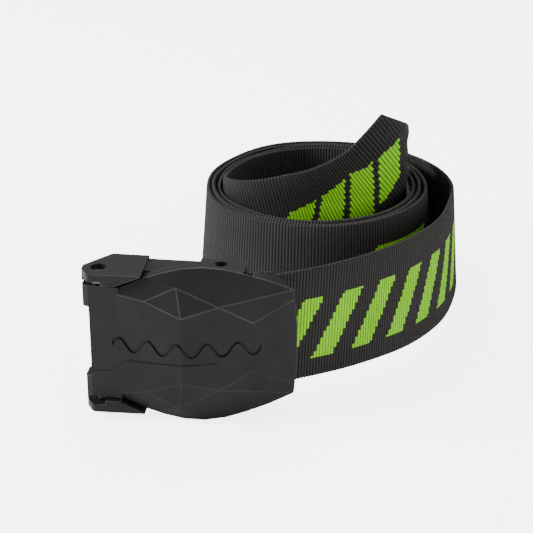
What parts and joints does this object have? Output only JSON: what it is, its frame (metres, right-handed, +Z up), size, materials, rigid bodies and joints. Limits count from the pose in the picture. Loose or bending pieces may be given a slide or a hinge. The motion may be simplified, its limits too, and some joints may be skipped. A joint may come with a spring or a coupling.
{
  "type": "dive weight belt",
  "caption": "Nylon webbing weight belt standing coiled on its edge, with a folding cam buckle whose hinged lever clamps the free end",
  "frame": {"origin": "middle of the footprint on the surface that the belt stands on", "axes": "+Z up, the buckle faces -Y with its hinge towards -X, the coil lies towards +Y"},
  "size_m": [0.1484, 0.2128, 0.0868],
  "materials": {
    "moulded_nylon": "fine moulded grain",
    "moulded_nylon_lever": "fine moulded grain",
    "stainless_pin": "drawn",
    "stainless_bar": "drawn",
    "webbing": "ribbed weave",
    "thread": "bonded thread"
  },
  "bodies": {
    "frame": {"buckle_frame": "moulded_nylon", "hinge_pin": "stainless_pin", "webbing_bar": "stainless_bar"},
    "lever": {"cam_lever": "moulded_nylon_lever"},
    "strap": {"strap_outer_run": "webbing", "strap_coil": "webbing", "strap_free_end": "webbing", "folded_tail": "webbing", "stitching": "thread"}
  },
  "joints": [
    {"name": "lever_hinge", "type": "hinge", "parent": "frame", "child": "lever", "pos_m": [-0.06765, -0.09685, 0.0344], "axis": [0, 0, -1], "range_deg": [0, 120]},
    {"name": "strap_swivel", "type": "hinge", "parent": "frame", "child": "strap", "pos_m": [-0.01955, -0.08775, 0.0344], "axis": [0, 0, 1], "range_deg": [-6, 40]}
  ]
}
